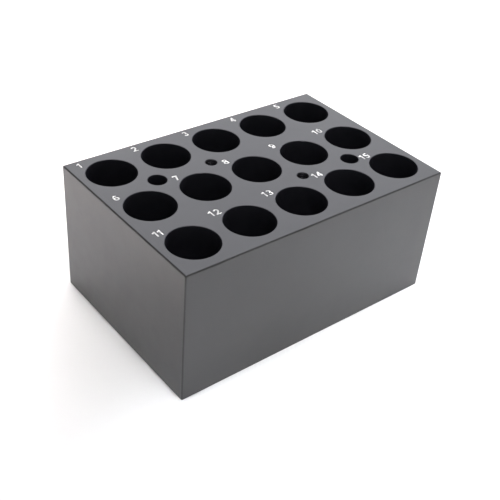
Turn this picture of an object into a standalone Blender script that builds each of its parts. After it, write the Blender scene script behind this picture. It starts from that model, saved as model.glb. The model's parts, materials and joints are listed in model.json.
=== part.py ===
"""Interchangeable aluminium block for a dry block heater: 15 wells for 15 ml tubes.

The block is one billet. Its wells are drilled and reamed, two holes pass right through it for the
screws that hold it on the heater, and two blind holes take the lifting screws. The well numbers are
engraved in the top face and filled with white paint: each painted digit is an object of its own.

The frame has its origin at the centre of the underside, +X along the five columns of wells, +Y
towards the back row (wells 1 to 5) and +Z up. Everything is in metres.
"""

import math

import bmesh
import bpy

MM = 0.001

# the billet
BLOCK_LENGTH = 110.0 * MM
BLOCK_WIDTH = 72.7 * MM
BLOCK_HEIGHT = 50.3 * MM
EDGE_CHAMFER = 0.35 * MM

# the wells, in rows of COLUMNS from the back left
COLUMNS = 5
ROWS = 3
COLUMN_PITCH = 21.7 * MM
ROW_PITCH = 23.65 * MM
WELL_RADIUS = 8.65 * MM
WELL_DEPTH = 45.0 * MM
WELL_CONE_HEIGHT = 20.0 * MM
WELL_TIP_RADIUS = 2.8 * MM
WELL_MOUTH_CHAMFER = 0.2 * MM
WELL_SIDES = 40

# the screw holes lie halfway between two rows, one of each pair towards the back
HOLE_ROW = ROW_PITCH / 2
HOLE_MOUTH_CHAMFER = 0.15 * MM
HOLE_SIDES = 24
FIXING_X = 33.0 * MM
FIXING_RADIUS = 3.3 * MM
LIFTING_X = COLUMN_PITCH / 2
LIFTING_RADIUS = 2.1 * MM
LIFTING_DEPTH = 15.0 * MM
DRILL_POINT = math.radians(118)

# the numbers: widths and heights of a digit are in units of its height, and two ones stand closer together
DIGIT_HEIGHT = 3.0 * MM
DIGIT_ADVANCE = 0.75
ONES_ADVANCE = 0.58
DIGIT_WIDTH = 0.68
DIGIT_STROKE = 0.19
DIGIT_ARC_STEP = math.radians(24)
NUMBER_X = -6.9 * MM
NUMBER_Y = 9.6 * MM
# these numbers stand aside from that place, most of them to clear a screw hole
NUMBER_SHIFT = {
    7: (1.6 * MM, 0.0),
    8: (0.6 * MM, 0.0),
    11: (0.5 * MM, 0.0),
    14: (0.5 * MM, 0.1 * MM),
    15: (2.3 * MM, 0.6 * MM),
}
ENGRAVING_DEPTH = 0.6 * MM
PAINT_THICKNESS = 0.25 * MM
PAINT_RECESS = 0.05 * MM
PAINT_SIDE_GAP = 0.1 * MM

# how far a cutter stands out of the face that it cuts
CUTTER_REACH = 1.0 * MM
MERGE_DISTANCE = 0.000001

ANODISED_BLACK = (0.045, 0.045, 0.048, 1.0)
NUMERAL_WHITE = (0.85, 0.85, 0.84, 1.0)


def clear_scene():
    for scene_object in list(bpy.data.objects):
        bpy.data.objects.remove(scene_object)


def new_collection(name):
    collection = bpy.data.collections.new(name)
    bpy.context.scene.collection.children.link(collection)
    return collection


def new_material(name, colour, metallic, roughness):
    material = bpy.data.materials.new(name)
    material.use_nodes = True
    shader = material.node_tree.nodes["Principled BSDF"]
    shader.inputs["Base Color"].default_value = colour
    shader.inputs["Metallic"].default_value = metallic
    shader.inputs["Roughness"].default_value = roughness
    return material


def new_object(name, mesh, collection):
    made = bpy.data.objects.new(name, mesh)
    collection.objects.link(made)
    return made


def hide_cutter(cutter):
    cutter.hide_render = True
    cutter.display_type = "WIRE"


def cut(target, name, collection):
    """Takes every object of a collection out of the target."""
    boolean = target.modifiers.new(name, "BOOLEAN")
    boolean.operation = "DIFFERENCE"
    boolean.solver = "EXACT"
    boolean.operand_type = "COLLECTION"
    boolean.collection = collection


def join(target, addition):
    """Joins another object to the target and keeps it out of sight."""
    boolean = target.modifiers.new(addition.name, "BOOLEAN")
    boolean.operation = "UNION"
    boolean.solver = "EXACT"
    boolean.object = addition


def make_billet(collection, material):
    mesh = bpy.data.meshes.new("heating_block")
    body = bmesh.new()
    bmesh.ops.create_cube(body, size=1.0)
    bmesh.ops.scale(body, vec=(BLOCK_LENGTH, BLOCK_WIDTH, BLOCK_HEIGHT), verts=body.verts)
    bmesh.ops.translate(body, vec=(0.0, 0.0, BLOCK_HEIGHT / 2), verts=body.verts)
    body.to_mesh(mesh)
    body.free()
    mesh.materials.append(material)
    billet = new_object("heating_block", mesh, collection)
    chamfer = billet.modifiers.new("edge_chamfer", "BEVEL")
    chamfer.width = EDGE_CHAMFER
    chamfer.segments = 1
    return billet


def profile_mesh(name, profile):
    """An open profile of (radius, height) points, for the Screw modifier to turn."""
    mesh = bpy.data.meshes.new(name)
    points = [(radius, 0.0, height) for radius, height in profile]
    mesh.from_pydata(points, [(i, i + 1) for i in range(len(points) - 1)], [])
    return mesh


def turned_cutter(name, mesh, sides, collection, x, y):
    """A cutter turned from a profile, standing at (x, y) with its zero height on the top face."""
    cutter = new_object(name, mesh, collection)
    cutter.location = (x, y, BLOCK_HEIGHT)
    turn = cutter.modifiers.new("turn", "SCREW")
    turn.axis = "Z"
    turn.steps = sides
    turn.render_steps = sides
    turn.use_merge_vertices = True
    turn.merge_threshold = MERGE_DISTANCE
    hide_cutter(cutter)


def mouth(radius, chamfer):
    """The top of a hole's profile: from above the face, down and in along the chamfer."""
    outer = radius + chamfer + CUTTER_REACH
    return [(0.0, CUTTER_REACH), (outer, CUTTER_REACH), (radius, -chamfer)]


def well_centres():
    """The wells' numbers and centres, row by row from the back left."""
    centres = []
    for row in range(ROWS):
        for column in range(COLUMNS):
            x = (column - (COLUMNS - 1) / 2) * COLUMN_PITCH
            y = ((ROWS - 1) / 2 - row) * ROW_PITCH
            centres.append((row * COLUMNS + column + 1, x, y))
    return centres


def make_well_cutters(collection):
    cone_top = WELL_CONE_HEIGHT - WELL_DEPTH
    bore = [(WELL_RADIUS, cone_top), (WELL_TIP_RADIUS, -WELL_DEPTH), (0.0, -WELL_DEPTH)]
    mesh = profile_mesh("well_profile", mouth(WELL_RADIUS, WELL_MOUTH_CHAMFER) + bore)
    for number, x, y in well_centres():
        turned_cutter(f"well_{number}_cutter", mesh, WELL_SIDES, collection, x, y)


def make_hole_cutters(collection):
    """Two fixing holes right through the block, and two blind holes with a drill point."""
    bottom = -BLOCK_HEIGHT
    reach = HOLE_MOUTH_CHAMFER + CUTTER_REACH
    through = [
        (FIXING_RADIUS, bottom + HOLE_MOUTH_CHAMFER),
        (FIXING_RADIUS + reach, bottom - CUTTER_REACH),
        (0.0, bottom - CUTTER_REACH),
    ]
    fixing = profile_mesh("fixing_profile", mouth(FIXING_RADIUS, HOLE_MOUTH_CHAMFER) + through)
    point = LIFTING_RADIUS / math.tan(DRILL_POINT / 2)
    blind = [(LIFTING_RADIUS, -LIFTING_DEPTH), (0.0, -LIFTING_DEPTH - point)]
    lifting = profile_mesh("lifting_profile", mouth(LIFTING_RADIUS, HOLE_MOUTH_CHAMFER) + blind)
    for side, x_sign in (("left", -1), ("right", 1)):
        y = -x_sign * HOLE_ROW
        turned_cutter(
            f"fixing_hole_{side}_cutter", fixing, HOLE_SIDES, collection, x_sign * FIXING_X, y
        )
        turned_cutter(
            f"lifting_hole_{side}_cutter", lifting, HOLE_SIDES, collection, x_sign * LIFTING_X, y
        )


def arc(centre_x, centre_y, radius_x, radius_y, start, end):
    """Points along part of an ellipse, between two angles in degrees."""
    start, end = math.radians(start), math.radians(end)
    steps = max(2, round(abs(end - start) / DIGIT_ARC_STEP))
    angles = [start + (end - start) * step / steps for step in range(steps + 1)]
    return [
        (centre_x + radius_x * math.cos(angle), centre_y + radius_y * math.sin(angle))
        for angle in angles
    ]


def ring(centre_x, centre_y, radius_x, radius_y):
    """A closed ellipse: its last point is its first."""
    return arc(centre_x, centre_y, radius_x, radius_y, 0, 360)


def half_turn(stroke):
    return [(DIGIT_WIDTH - x, 1.0 - y) for x, y in stroke]


def digit_strokes(digit):
    """The centre lines of a sans-serif digit's strokes, in units of the digit's height."""
    six = [ring(0.34, 0.32, 0.245, 0.225), arc(0.36, 0.48, 0.265, 0.425, 205, 48)]
    strokes = {
        "0": [ring(0.34, 0.5, 0.245, 0.405)],
        "1": [[(0.41, 0.0), (0.41, 1.0)], [(0.41, 0.86), (0.09, 0.7)]],
        "2": [
            arc(0.335, 0.665, 0.235, 0.24, 165, -30) + [(0.16, 0.1)],
            [(0.02, 0.09), (0.66, 0.09)],
        ],
        "3": [
            arc(0.32, 0.715, 0.21, 0.19, 160, -85),
            arc(0.33, 0.3, 0.245, 0.205, 95, -160),
        ],
        "4": [
            [(0.48, 0.0), (0.48, 1.0)],
            [(0.44, 0.91), (0.1, 0.32)],
            [(0.0, 0.29), (0.68, 0.29)],
        ],
        "5": [
            [(0.12, 0.905), (0.62, 0.905)],
            [(0.185, 0.92), (0.13, 0.5)],
            arc(0.33, 0.325, 0.25, 0.23, 140, -160),
        ],
        "6": six,
        "7": [[(0.03, 0.905), (0.65, 0.905)], [(0.54, 0.88), (0.26, 0.03)]],
        "8": [ring(0.34, 0.295, 0.245, 0.2), ring(0.34, 0.715, 0.215, 0.19)],
        "9": [half_turn(stroke) for stroke in six],
    }
    return strokes[digit]


def is_closed(stroke):
    return math.dist(stroke[0], stroke[-1]) < MERGE_DISTANCE


def lengthened(stroke, extra):
    """An open stroke with both of its ends moved out along themselves."""
    ends = []
    for end, neighbour in ((stroke[0], stroke[1]), (stroke[-1], stroke[-2])):
        reach = extra / math.dist(end, neighbour)
        ends.append(
            (end[0] + (end[0] - neighbour[0]) * reach, end[1] + (end[1] - neighbour[1]) * reach)
        )
    return [ends[0], *stroke[1:-1], ends[1]]


def stroke_object(name, stroke, collection, x, y, bottom, top, grow):
    """A stroke as an upright sheet along its centre line, thickened to the stroke's width."""
    closed = is_closed(stroke)
    path = stroke[:-1] if closed else lengthened(stroke, grow / DIGIT_HEIGHT)
    mesh = bpy.data.meshes.new(name)
    sheet = bmesh.new()
    verts = [sheet.verts.new((px * DIGIT_HEIGHT, py * DIGIT_HEIGHT, 0.0)) for px, py in path]
    pairs = list(zip(verts, verts[1:]))
    if closed:
        pairs.append((verts[-1], verts[0]))
    edges = [sheet.edges.new(pair) for pair in pairs]
    raised = bmesh.ops.extrude_edge_only(sheet, edges=edges)["geom"]
    raised_verts = [item for item in raised if isinstance(item, bmesh.types.BMVert)]
    bmesh.ops.translate(sheet, vec=(0.0, 0.0, top - bottom), verts=raised_verts)
    bmesh.ops.recalc_face_normals(sheet, faces=sheet.faces)
    sheet.to_mesh(mesh)
    sheet.free()
    made = new_object(name, mesh, collection)
    made.location = (x, y, bottom)
    thicken = made.modifiers.new("stroke_width", "SOLIDIFY")
    thicken.thickness = DIGIT_STROKE * DIGIT_HEIGHT + 2 * grow
    thicken.offset = 0.0
    thicken.use_even_offset = True
    return made


def digit_object(name, digit, collection, helpers, x, y, bottom, top, grow=0.0):
    """A digit: its first stroke, with its other strokes joined to it."""
    strokes = digit_strokes(digit)
    whole = stroke_object(name, strokes[0], collection, x, y, bottom, top, grow)
    for index, stroke in enumerate(strokes[1:], start=2):
        part = f"{name}_stroke_{index}"
        addition = stroke_object(part, stroke, helpers, x, y, bottom, top, grow)
        hide_cutter(addition)
        join(whole, addition)
    return whole


def digit_places():
    """Each digit's name, its character and the place of its lower left corner."""
    places = []
    for number, well_x, well_y in well_centres():
        text = str(number)
        shift_x, shift_y = NUMBER_SHIFT.get(number, (0.0, 0.0))
        advance = ONES_ADVANCE if text == "11" else DIGIT_ADVANCE
        text_width = ((len(text) - 1) * advance + DIGIT_WIDTH) * DIGIT_HEIGHT
        left = well_x + NUMBER_X + shift_x - text_width / 2
        bottom = well_y + NUMBER_Y + shift_y - DIGIT_HEIGHT / 2
        suffixes = [""] if len(text) == 1 else ["_tens", "_units"]
        for index, (digit, suffix) in enumerate(zip(text, suffixes)):
            x = left + index * advance * DIGIT_HEIGHT
            places.append((f"number_{number}{suffix}", digit, x, bottom))
    return places


def make_numbers(collection, engravings, helpers, material):
    """The paint of each digit, and the cutter of the slightly larger pocket that it lies in."""
    paint_top = BLOCK_HEIGHT - PAINT_RECESS
    paint_bottom = paint_top - PAINT_THICKNESS
    floor = BLOCK_HEIGHT - ENGRAVING_DEPTH
    above = BLOCK_HEIGHT + CUTTER_REACH
    for name, digit, x, y in digit_places():
        paint = digit_object(name, digit, collection, helpers, x, y, paint_bottom, paint_top)
        paint.data.materials.append(material)
        cutter_name = f"{name}_engraving"
        engraving = digit_object(
            cutter_name, digit, engravings, helpers, x, y, floor, above, PAINT_SIDE_GAP
        )
        hide_cutter(engraving)


def main():
    clear_scene()
    block_parts = new_collection("dry_heater_block")
    bore_cutters = new_collection("bore_cutters")
    engravings = new_collection("engraving_cutters")
    helpers = new_collection("stroke_cutters")
    anodised = new_material("anodised_black", ANODISED_BLACK, 0.6, 0.42)
    white = new_material("numeral_white", NUMERAL_WHITE, 0.0, 0.5)
    billet = make_billet(block_parts, anodised)
    make_well_cutters(bore_cutters)
    make_hole_cutters(bore_cutters)
    make_numbers(block_parts, engravings, helpers, white)
    cut(billet, "bores", bore_cutters)
    cut(billet, "engravings", engravings)


main()
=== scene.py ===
"""The looks of the heater's well block: a fine body, painted numbers, a pale floor and soft light."""

import json
import math

import bmesh
import bpy
from mathutils import Matrix, Vector


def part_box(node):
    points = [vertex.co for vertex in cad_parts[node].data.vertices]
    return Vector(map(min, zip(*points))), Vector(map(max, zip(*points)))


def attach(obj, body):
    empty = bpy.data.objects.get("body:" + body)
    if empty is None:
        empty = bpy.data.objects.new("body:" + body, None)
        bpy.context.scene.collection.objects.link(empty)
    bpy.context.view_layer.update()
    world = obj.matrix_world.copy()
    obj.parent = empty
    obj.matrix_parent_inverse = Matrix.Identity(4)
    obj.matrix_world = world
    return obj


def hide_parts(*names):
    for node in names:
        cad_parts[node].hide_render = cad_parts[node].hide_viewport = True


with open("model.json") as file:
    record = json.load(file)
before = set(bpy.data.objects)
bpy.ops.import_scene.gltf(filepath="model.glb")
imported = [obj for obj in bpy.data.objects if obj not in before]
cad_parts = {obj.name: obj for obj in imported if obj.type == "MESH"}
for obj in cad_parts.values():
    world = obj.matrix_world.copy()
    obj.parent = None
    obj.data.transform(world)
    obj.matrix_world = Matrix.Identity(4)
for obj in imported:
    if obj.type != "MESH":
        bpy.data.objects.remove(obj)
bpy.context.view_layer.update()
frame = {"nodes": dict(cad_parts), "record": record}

MM = 0.001

# places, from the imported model
BLOCK_LOW, BLOCK_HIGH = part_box("heating_block")
BLOCK_SIZE = BLOCK_HIGH - BLOCK_LOW
BLOCK_CENTRE = (BLOCK_LOW + BLOCK_HIGH) / 2
TOP = BLOCK_HIGH.z
OPENINGS = {opening["name"]: opening["box_m"] for opening in frame["record"]["physics"]["openings"]}
DIGITS = sorted(name for name in frame["nodes"] if name.startswith("number_"))

# the billet's edges: a machined chamfer whose own edges are slightly rounded, and the band along them that
# has wear nicks and painted shade
EDGE_CHAMFER = 0.35 * MM
EDGE_ROUNDING = 0.08 * MM
EDGE_WEAR_AND_SHADE = 0.6 * MM

# the wells
WELL_RADIUS = 8.65 * MM
WELL_DEPTH = 45.0 * MM
WELL_CONE_HEIGHT = 20.0 * MM
WELL_TIP_RADIUS = 2.8 * MM
WELL_MOUTH_ROUNDING = 0.2 * MM
WELL_SIDES = 96

# the screw holes
FIXING_RADIUS = 3.3 * MM
LIFTING_RADIUS = 2.1 * MM
LIFTING_DEPTH = 15.0 * MM
DRILL_POINT = math.radians(118)
THREAD_PITCH = 0.8 * MM
THREAD_DEPTH = 0.4 * MM
THREAD_STEPS = 8
HOLE_MOUTH_STEPS = 3
HOLE_MOUTH_ROUNDING = 0.15 * MM
HOLE_SIDES = 48

# the thread's groove, in parts of its pitch: its width at the wall and at its bottom
GROOVE_WIDTH = 0.5
GROOVE_BOTTOM = 0.1

# the engraving round each painted digit
POCKET_GAP = 0.05 * MM
POCKET_FLOOR_GAP = 0.02 * MM
PAINT_ROUNDING = 0.04 * MM
PAINT_EDGE_ANGLE = math.radians(50)

# working the meshes
CUTTER_REACH = 1.0 * MM
MERGE_DISTANCE = 0.000001
SHARP_ANGLE = math.radians(35)
LEVEL_FACE = 0.99999

# the floor, which fades out between two distances
FLOOR_HALF = 1.5
FLOOR_FADE = 0.25
FLOOR_END = 0.6

# the studio is bright up to one height of the view and dim above another
STUDIO_BRIGHT_TO = 0.12
STUDIO_DIM_FROM = 0.45
STUDIO_DIM = 0.4

# the camera
CAMERA_PLACE = Vector((-0.1677, -0.1917, 0.2003))
CAMERA_AIM = Vector((-0.0086, -0.01, 0.0252))
CAMERA_ROLL = math.radians(5.02)
CAMERA_LENS = 61.43
CAMERA_SENSOR = 36.0
CAMERA_NEAREST = 0.01


def opening_centre(name):
    """The place in plan of a stated opening."""
    low, high = OPENINGS[name]
    return Vector(((low[0] + high[0]) / 2, (low[1] + high[1]) / 2))


def between_wells(*numbers):
    """The place in plan halfway between some wells."""
    centres = [opening_centre(f"well_{number}") for number in numbers]
    return sum(centres, Vector((0.0, 0.0))) / len(centres)


# ---- node materials


class Nodes:
    """Builds a material's node tree: every call adds a node and returns its first output."""

    def __init__(self, name):
        self.material = bpy.data.materials.new(name)
        self.material.use_nodes = True
        self.tree = self.material.node_tree
        self.shader = self.tree.nodes["Principled BSDF"]

    def add(self, kind, inputs=None, output=0, **settings):
        node = self.tree.nodes.new(kind)
        for key, value in settings.items():
            setattr(node, key, value)
        for key, value in (inputs or {}).items():
            self.connect(value, node.inputs[key])
        return node.outputs[output]

    def connect(self, value, socket):
        if isinstance(value, bpy.types.NodeSocket):
            self.tree.links.new(value, socket)
        else:
            socket.default_value = value

    def set(self, **inputs):
        for key, value in inputs.items():
            self.connect(value, self.shader.inputs[key.replace("_", " ").title()])

    def math(self, operation, first, second=0.0):
        return self.add("ShaderNodeMath", {0: first, 1: second}, operation=operation)

    def noise(self, scale, detail=3.0, roughness=0.5):
        place = self.add("ShaderNodeTexCoord", output=3)
        inputs = {"Vector": place, "Scale": scale, "Detail": detail, "Roughness": roughness}
        return self.add("ShaderNodeTexNoise", inputs)

    def radius(self):
        """The distance from the piece's own origin."""
        node = self.tree.nodes.new("ShaderNodeVectorMath")
        node.operation = "LENGTH"
        self.connect(self.add("ShaderNodeTexCoord", output=3), node.inputs[0])
        return node.outputs["Value"]

    def between(self, value, low, high, to_low=0.0, to_high=1.0):
        """The value mapped from one range to another, and held inside it."""
        inputs = {"Value": value, "From Min": low, "From Max": high, "To Min": to_low, "To Max": to_high}
        return self.add("ShaderNodeMapRange", inputs)

    def blend(self, amount, first, second):
        node = self.tree.nodes.new("ShaderNodeMix")
        node.data_type = "RGBA"
        self.connect(amount, node.inputs[0])
        self.connect(first, node.inputs[6])
        self.connect(second, node.inputs[7])
        return node.outputs[2]

    def bump(self, height, distance, strength=1.0, normal=None):
        inputs = {"Height": height, "Distance": distance, "Strength": strength}
        if normal is not None:
            inputs["Normal"] = normal
        return self.add("ShaderNodeBump", inputs)


def edge_nearness(nodes, reach):
    """1 on the billet's edges, falling to 0 a reach away from them."""
    place = nodes.add("ShaderNodeTexCoord", output=3)
    parts = nodes.tree.nodes.new("ShaderNodeSeparateXYZ")
    nodes.tree.links.new(place, parts.inputs[0])
    distances = []
    for axis in range(3):
        offset = nodes.math("SUBTRACT", parts.outputs[axis], BLOCK_CENTRE[axis])
        distances.append(nodes.math("SUBTRACT", BLOCK_SIZE[axis] / 2, nodes.math("ABSOLUTE", offset)))
    a, b, c = distances
    low, high = nodes.math("MINIMUM", a, b), nodes.math("MAXIMUM", a, b)
    middle = nodes.math("MAXIMUM", low, nodes.math("MINIMUM", high, c))
    return nodes.between(middle, 0.0, reach, 1.0, 0.0)


def anodised_satin():
    """Black anodised aluminium: faint mottling and handling marks, painted shade darkening the edges, and
    light wear nicks on them.
    """
    nodes = Nodes("anodised_satin")
    mottle = nodes.noise(45.0, 4.0, 0.55)
    smear = nodes.noise(160.0, 6.0, 0.65)
    grain = nodes.noise(4200.0, 2.0)
    edge = edge_nearness(nodes, EDGE_WEAR_AND_SHADE)
    nick = nodes.math("MULTIPLY", edge, nodes.between(nodes.noise(700.0, 5.0), 0.66, 0.72))
    body = nodes.blend(mottle, (0.080, 0.079, 0.081, 1.0), (0.090, 0.089, 0.091, 1.0))
    # painted shade: the colour darkens towards near black along the billet's edges, standing in for the
    # chamfers' shading
    edge_shaded_body = nodes.blend(nodes.math("MULTIPLY", edge, 0.5), body, (0.03, 0.03, 0.03, 1.0))
    nodes.set(base_color=nodes.blend(nick, edge_shaded_body, (0.12, 0.12, 0.122, 1.0)))
    nodes.set(metallic=1.0, roughness=nodes.between(smear, 0.3, 0.7, 0.31, 0.37))
    nodes.set(normal=nodes.bump(grain, 0.006 * MM, 0.7))
    return nodes.material


def anodised_inside_painted_shade(name, base):
    """The inside of a well or hole: a darker copy of the anodising, painted shade for the recess, with fine
    turned marks and a bluish cast.
    """
    nodes = Nodes(name)
    place = nodes.add("ShaderNodeTexCoord", output=3)
    rings = nodes.add(
        "ShaderNodeTexWave",
        {"Vector": place, "Scale": 1400.0, "Distortion": 1.5, "Detail": 2.0},
        output=1,
        bands_direction="Z",
    )
    smear = nodes.noise(220.0, 4.0)
    light = 1.5 * base
    colour = nodes.blend(smear, (base, base, 1.3 * base, 1.0), (light, light, 1.3 * light, 1.0))
    nodes.set(base_color=colour, metallic=0.5, roughness=nodes.between(smear, 0.3, 0.7, 0.3, 0.4))
    nodes.set(normal=nodes.bump(rings, 0.004 * MM, 0.5))
    return nodes.material


def engraving_paint():
    """White engraving paint: slightly uneven, a little dull and grubby."""
    nodes = Nodes("engraving_paint")
    patches = nodes.noise(900.0, 3.0)
    grain = nodes.noise(3500.0, 2.0)
    colour = nodes.blend(patches, (0.60, 0.60, 0.59, 1.0), (0.68, 0.68, 0.67, 1.0))
    nodes.set(base_color=colour, roughness=nodes.between(patches, 0.3, 0.7, 0.45, 0.6))
    nodes.set(normal=nodes.bump(grain, 0.01 * MM, 0.5))
    return nodes.material


def floor_material():
    """A plain pale floor with the least unevenness, that fades into the bright studio far out."""
    nodes = Nodes("floor_pale")
    nodes.set(base_color=nodes.blend(nodes.noise(6.0), (0.86, 0.86, 0.86, 1.0), (0.88, 0.88, 0.88, 1.0)))
    nodes.set(roughness=0.7, alpha=nodes.between(nodes.radius(), FLOOR_FADE, FLOOR_END, 1.0, 0.0))
    return nodes.material


# ---- the fine body of the block


def new_piece(name, mesh):
    piece = bpy.data.objects.new(name, mesh)
    bpy.context.scene.collection.objects.link(piece)
    return piece


def baked(piece):
    """The piece with its modifiers applied."""
    graph = bpy.context.evaluated_depsgraph_get()
    mesh = bpy.data.meshes.new_from_object(piece.evaluated_get(graph))
    piece.modifiers.clear()
    piece.data = mesh
    return piece


def billet():
    """The block's outside: a box whose edges have a chamfer and a slight rounding."""
    mesh = bpy.data.meshes.new("block_body")
    body = bmesh.new()
    bmesh.ops.create_cube(body, size=1.0)
    bmesh.ops.scale(body, vec=BLOCK_SIZE, verts=body.verts)
    bmesh.ops.translate(body, vec=BLOCK_CENTRE, verts=body.verts)
    for offset, segments in ((EDGE_CHAMFER, 1), (EDGE_ROUNDING, 2)):
        bmesh.ops.bevel(
            body, geom=body.edges[:], offset=offset, segments=segments, profile=0.5, affect="EDGES"
        )
    body.to_mesh(mesh)
    body.free()
    return new_piece("block_body", mesh)


def quarter_round(radius, rounding, steps=4):
    """The profile of a hole's rounded mouth, from the top face down to the wall."""
    angles = [math.pi / 2 * step / steps for step in range(steps + 1)]
    return [
        (radius + rounding - rounding * math.sin(angle), -rounding + rounding * math.cos(angle))
        for angle in angles
    ]


def mouth(radius, rounding):
    """The profile of a cutter's upper end: from above the top face down to the wall."""
    return [(0.0, CUTTER_REACH), (radius + rounding, CUTTER_REACH)] + quarter_round(radius, rounding)


def turned_cutter(name, profile, sides, place):
    """A cutter turned from a profile of (radius, height) points, from its top down."""
    mesh = bpy.data.meshes.new(name)
    points = [(radius, 0.0, height) for radius, height in profile]
    mesh.from_pydata(points, [(i, i + 1) for i in range(len(points) - 1)], [])
    cutter = new_piece(name, mesh)
    cutter.location = (place.x, place.y, TOP)
    turn = cutter.modifiers.new("turn", "SCREW")
    turn.axis = "Z"
    turn.steps = turn.render_steps = sides
    turn.use_merge_vertices = True
    turn.merge_threshold = MERGE_DISTANCE
    return baked(cutter)


def well_cutters():
    """The wells: a straight bore, then a cone with a flat tip."""
    cone_top = WELL_CONE_HEIGHT - WELL_DEPTH
    bore = [(WELL_RADIUS, cone_top), (WELL_TIP_RADIUS, -WELL_DEPTH), (0.0, -WELL_DEPTH)]
    profile = mouth(WELL_RADIUS, WELL_MOUTH_ROUNDING) + bore
    names = [name for name in OPENINGS if name.startswith("well_") and not name.endswith("cone")]
    return [turned_cutter(f"{name}_cutter", profile, WELL_SIDES, opening_centre(name)) for name in names]


def fixing_cutters():
    """The two holes right through, rounded at both ends."""
    bottom = -BLOCK_SIZE.z
    upper = mouth(FIXING_RADIUS, HOLE_MOUTH_ROUNDING)
    lower = [(radius, bottom - height) for radius, height in reversed(upper)]
    return [
        turned_cutter(f"{name}_cutter", upper + lower, HOLE_SIDES, opening_centre(name))
        for name in ("fixing_hole_left", "fixing_hole_right")
    ]


def thread_groove(phase):
    """How far the thread's groove goes into the wall, from 0 to 1, at a phase of its pitch."""
    flank = (GROOVE_WIDTH - GROOVE_BOTTOM) / 2
    return min(1.0, max(0.0, (GROOVE_WIDTH / 2 - abs(phase - 0.5)) / flank))


def lifting_radius(height, turn):
    """The tapped hole's radius at a height below the top face and at a part of a turn."""
    rounding = HOLE_MOUTH_ROUNDING
    if height > -rounding:
        above = rounding + min(height, 0.0)
        return LIFTING_RADIUS + rounding - math.sqrt(rounding**2 - above**2)
    groove = thread_groove((turn - height / THREAD_PITCH) % 1.0)
    fade = min(1.0, max(0.0, (height + LIFTING_DEPTH) / THREAD_PITCH - 1.0))
    return LIFTING_RADIUS + THREAD_DEPTH * groove * fade


def lifting_cutter(name, place):
    """A tapped hole: rings of points whose radius follows the thread round and down, then a drill point."""
    levels = [CUTTER_REACH] + [
        -HOLE_MOUTH_ROUNDING * part / HOLE_MOUTH_STEPS for part in range(HOLE_MOUTH_STEPS + 1)
    ]
    step = THREAD_PITCH / THREAD_STEPS
    levels += [levels[-1] - step * count for count in range(1, int((LIFTING_DEPTH + levels[-1]) / step))]
    mesh = bpy.data.meshes.new(name)
    rod = bmesh.new()
    rings = []
    for level in levels:
        ring = []
        for side in range(HOLE_SIDES):
            turn = side / HOLE_SIDES
            radius, angle = lifting_radius(level, turn), 2 * math.pi * turn
            ring.append(rod.verts.new((radius * math.cos(angle), radius * math.sin(angle), level)))
        rings.append(ring)
    tip = rod.verts.new((0.0, 0.0, levels[-1] - LIFTING_RADIUS / math.tan(DRILL_POINT / 2)))
    for side in range(HOLE_SIDES):
        after = (side + 1) % HOLE_SIDES
        for upper, lower in zip(rings, rings[1:]):
            rod.faces.new((upper[side], lower[side], lower[after], upper[after]))
        rod.faces.new((rings[-1][side], tip, rings[-1][after]))
    rod.faces.new(reversed(rings[0]))
    bmesh.ops.recalc_face_normals(rod, faces=rod.faces)
    rod.to_mesh(mesh)
    rod.free()
    cutter = new_piece(name, mesh)
    cutter.location = (place.x, place.y, TOP)
    return cutter


def lifting_cutters():
    """The two tapped holes, each in the middle of four wells."""
    places = {"left": between_wells(2, 3, 7, 8), "right": between_wells(8, 9, 13, 14)}
    return [lifting_cutter(f"lifting_{name}_cutter", place) for name, place in places.items()]


def pocket_cutter(digit):
    """A painted digit's shape, a little larger, from just under the paint to above the top face."""
    mesh = bpy.data.meshes.new(f"{digit}_pocket")
    pocket = bmesh.new()
    pocket.from_mesh(frame["nodes"][digit].data)
    bmesh.ops.remove_doubles(pocket, verts=pocket.verts, dist=MERGE_DISTANCE)
    pocket.normal_update()
    low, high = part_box(digit)
    middle = (low.z + high.z) / 2
    for vert in pocket.verts:
        side = Vector((vert.normal.x, vert.normal.y, 0.0))
        level = low.z - POCKET_FLOOR_GAP if vert.co.z < middle else TOP + CUTTER_REACH
        vert.co += side * POCKET_GAP
        vert.co.z = level
    pocket.to_mesh(mesh)
    pocket.free()
    return new_piece(f"{digit}_pocket", mesh)


def painted(cutters, material):
    """The cutters with a material, which the faces they leave will have."""
    for cutter in cutters:
        cutter.data.materials.append(material)
    return cutters


def cut_away(piece, cutters):
    """Takes the cutters out of the piece. The new faces get the cutters' materials."""
    group = bpy.data.collections.new("cutters")
    bpy.context.scene.collection.children.link(group)
    for cutter in cutters:
        group.objects.link(cutter)
    boolean = piece.modifiers.new("cut", "BOOLEAN")
    boolean.operation = "DIFFERENCE"
    boolean.solver = "EXACT"
    boolean.operand_type = "COLLECTION"
    boolean.collection = group
    boolean.material_mode = "TRANSFER"
    baked(piece)
    for cutter in cutters:
        bpy.data.objects.remove(cutter)
    bpy.data.collections.remove(group)


def flatten_level_faces(mesh):
    """Shades the faces that lie square to an axis as the flat planes they are."""
    normals = [corner.vector.copy() for corner in mesh.corner_normals]
    for polygon in mesh.polygons:
        if max(abs(part) for part in polygon.normal) > LEVEL_FACE:
            for loop in polygon.loop_indices:
                normals[loop] = polygon.normal.copy()
    mesh.normals_split_custom_set(normals)


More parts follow.
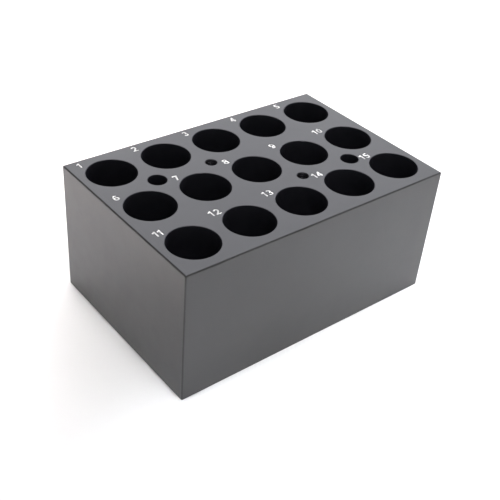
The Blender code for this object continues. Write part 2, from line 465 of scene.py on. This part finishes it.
def block_body():
    """The block, in place of the CAD node: the billet, its holes and the pockets of its digits."""
    satin = anodised_satin()
    # painted shade: the wells and holes get darker copies of the same anodising, and the tapped holes the
    # darkest, to hide the light on their thread
    bore = anodised_inside_painted_shade("anodised_bore_painted_shade", 0.015)
    thread = anodised_inside_painted_shade("anodised_thread_painted_shade", 0.012)
    body = billet()
    body.data.materials.append(satin)
    plain_holes = painted(well_cutters() + fixing_cutters(), bore)
    cut_away(body, plain_holes + painted(lifting_cutters(), thread))
    cut_away(body, painted([pocket_cutter(digit) for digit in DIGITS], satin))
    body.data.shade_smooth()
    body.data.set_sharp_from_angle(angle=SHARP_ANGLE)
    weighted = body.modifiers.new("weighted_normals", "WEIGHTED_NORMAL")
    weighted.keep_sharp = True
    baked(body)
    flatten_level_faces(body.data)
    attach(body, "root")
    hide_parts("heating_block")


def paint_digits(paint):
    """The painted digits are the CAD nodes, with their upper edges a little softened."""
    for digit in DIGITS:
        node = frame["nodes"][digit]
        node.data.materials.clear()
        node.data.materials.append(paint)
        weld = node.modifiers.new("weld", "WELD")
        weld.merge_threshold = MERGE_DISTANCE
        soft = node.modifiers.new("soft_edges", "BEVEL")
        soft.width = PAINT_ROUNDING
        soft.segments = 2
        soft.angle_limit = PAINT_EDGE_ANGLE


# ---- the scene around it


def aimed(place, target):
    """A rotation that looks from a place to a target."""
    return (target - place).to_track_quat("-Z", "Y").to_matrix().to_4x4()


def make_camera():
    data = bpy.data.cameras.new("camera")
    data.lens = CAMERA_LENS
    data.sensor_width = CAMERA_SENSOR
    camera = new_piece("camera", data)
    roll = Matrix.Rotation(CAMERA_ROLL, 4, "Z")
    camera.matrix_world = Matrix.Translation(CAMERA_PLACE) @ aimed(CAMERA_PLACE, CAMERA_AIM) @ roll
    data.clip_start = CAMERA_NEAREST
    bpy.context.scene.camera = camera


def make_light(name, place, size, strength, colour, target=BLOCK_CENTRE, spread=math.pi):
    """A softbox of the given brightness that faces a target. It lights the scene but isn't seen itself."""
    data = bpy.data.lights.new(name, "AREA")
    data.shape = "RECTANGLE"
    data.size, data.size_y = size
    data.color = colour
    data.energy = strength * math.pi * size[0] * size[1]
    data.spread = spread
    light = new_piece(name, data)
    light.matrix_world = Matrix.Translation(place) @ aimed(Vector(place), Vector(target))
    light.visible_camera = False


def make_floor_spot(name, place, size, strength, colour, spread):
    """A narrow light that shines straight down on the floor, which the block's sides mirror."""
    below = (place[0], place[1], 0.0)
    make_light(name, place, size, strength, colour, below, math.radians(spread))


def make_lights():
    """Softboxes round the block, away from where its chamfers mirror, and spots on the floor."""
    warm, plain, cool = (1.0, 0.92, 0.88), (1.0, 0.99, 0.99), (0.91, 0.93, 1.0)
    make_light("softbox_top", (0.0, 0.0, 0.9), (0.9, 0.9), 0.78, plain)
    make_light("softbox_back_right", (0.45, 0.55, 0.5), (0.6, 0.6), 1.72, cool)
    make_light("softbox_back", (0.2, 0.85, 0.4), (0.5, 0.4), 0.7, plain)
    make_light("softbox_right", (0.85, 0.1, 0.35), (0.5, 0.5), 5.4, cool)
    make_light("strip_front_right", (0.65, -0.55, 0.12), (0.6, 0.2), 2.3, cool)
    make_floor_spot("spot_left", (-0.22, 0.05, 0.6), (0.12, 0.12), 7.9, warm, 20)
    make_floor_spot("spot_behind", (0.0, 0.22, 0.6), (0.3, 0.2), 2.95, warm, 40)
    make_floor_spot("spot_right", (0.24, 0.02, 0.6), (0.2, 0.3), 0.95, plain, 40)
    make_floor_spot("spot_front", (0.0, -0.07, 0.3), (0.1, 0.03), 0.2, cool, 25)
    make_floor_spot("spot_front_left", (-0.06, -0.07, 0.3), (0.03, 0.03), 2.5, cool, 20)
    near, beside = (0.03, -0.06, 0.0), (0.08, -0.07, 0.0)
    make_light("spot_front_low", (-0.02, -0.4, 0.9), (0.2, 0.2), 0.9, plain, near, math.radians(20))
    make_light("spot_front_beside", (0.1, -0.3, 0.95), (0.15, 0.15), 0.34, cool, beside, math.radians(12))


def make_world():
    """The studio round the block: bright near the horizon, dimmer above it."""
    world = bpy.data.worlds.new("studio")
    world.use_nodes = True
    tree = world.node_tree
    direction = tree.nodes.new("ShaderNodeTexCoord")
    parts = tree.nodes.new("ShaderNodeSeparateXYZ")
    brightness = tree.nodes.new("ShaderNodeMapRange")
    tree.links.new(direction.outputs["Generated"], parts.inputs[0])
    tree.links.new(parts.outputs["Z"], brightness.inputs["Value"])
    brightness.inputs["From Min"].default_value = STUDIO_BRIGHT_TO
    brightness.inputs["From Max"].default_value = STUDIO_DIM_FROM
    brightness.inputs["To Min"].default_value = 1.0
    brightness.inputs["To Max"].default_value = STUDIO_DIM
    background = tree.nodes["Background"]
    tree.links.new(brightness.outputs["Result"], background.inputs["Color"])
    background.inputs["Strength"].default_value = 1.0
    bpy.context.scene.world = world


def make_floor():
    mesh = bpy.data.meshes.new("floor")
    plane = bmesh.new()
    bmesh.ops.create_grid(plane, x_segments=4, y_segments=4, size=FLOOR_HALF)
    plane.to_mesh(mesh)
    plane.free()
    mesh.materials.append(floor_material())
    floor = new_piece("floor", mesh)
    floor.location.z = BLOCK_LOW.z


block_body()
paint_digits(engraving_paint())
make_floor()
make_lights()
make_world()
make_camera()
bpy.context.scene.view_settings.view_transform = "Standard"
